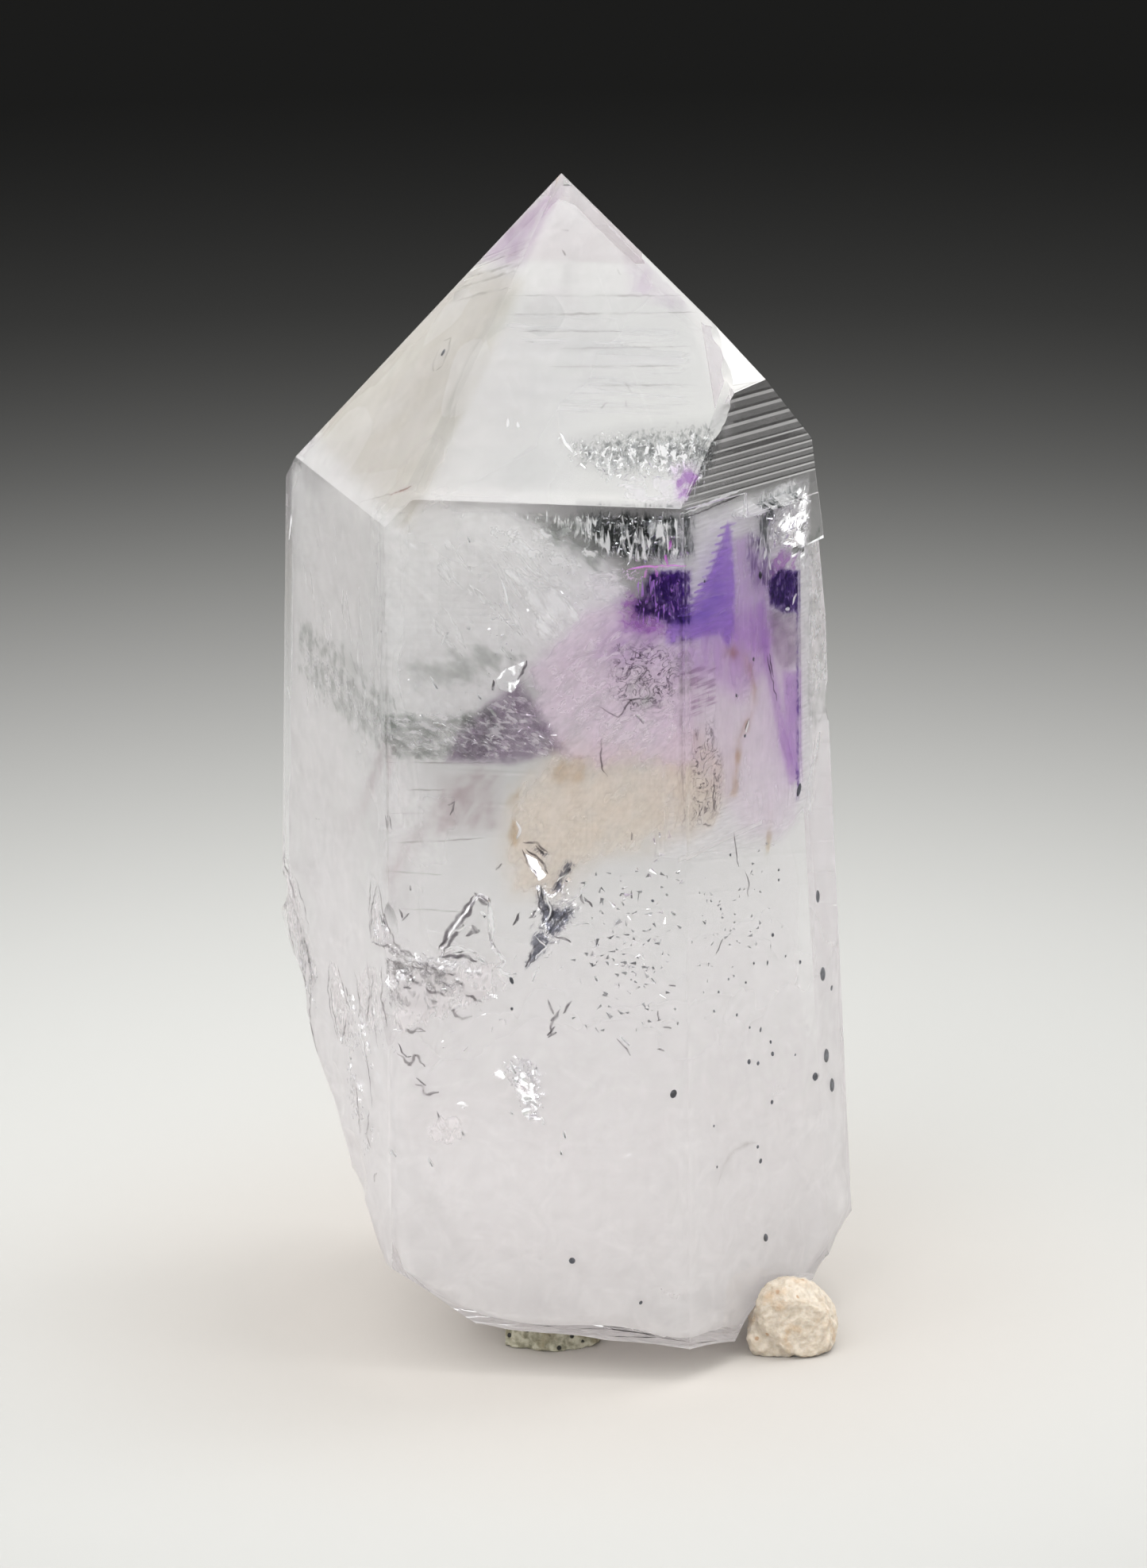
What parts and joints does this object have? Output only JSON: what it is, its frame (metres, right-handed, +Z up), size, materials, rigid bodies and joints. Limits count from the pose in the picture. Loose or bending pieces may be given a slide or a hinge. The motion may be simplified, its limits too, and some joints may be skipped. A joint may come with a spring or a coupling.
{
  "type": "amethyst quartz crystal specimen",
  "caption": "Free-standing single quartz crystal with a sharp six-sided point, flat prism faces, purple growth zones and a broken base with small rock remnants.",
  "frame": {"origin": "centre of the specimen's outline on the surface that it stands on", "axes": "+Z up along the crystal's long axis to the point, front prism face towards -Y, striated right face towards +X"},
  "size_m": [0.0383, 0.0282, 0.08],
  "materials": {
    "quartz": "clear natural crystal with polished-looking growth faces, fine striations and purple and smoky zones inside",
    "grey_rock": "dull grey-green rock with dark specks",
    "cream_rock": "grainy cream rock, slightly translucent, with orange-brown pits"
  },
  "bodies": {
    "root": {"amethyst_crystal": "quartz", "grey_rock_remnant": "grey_rock", "cream_rock_remnant": "cream_rock"}
  },
  "joints": []
}
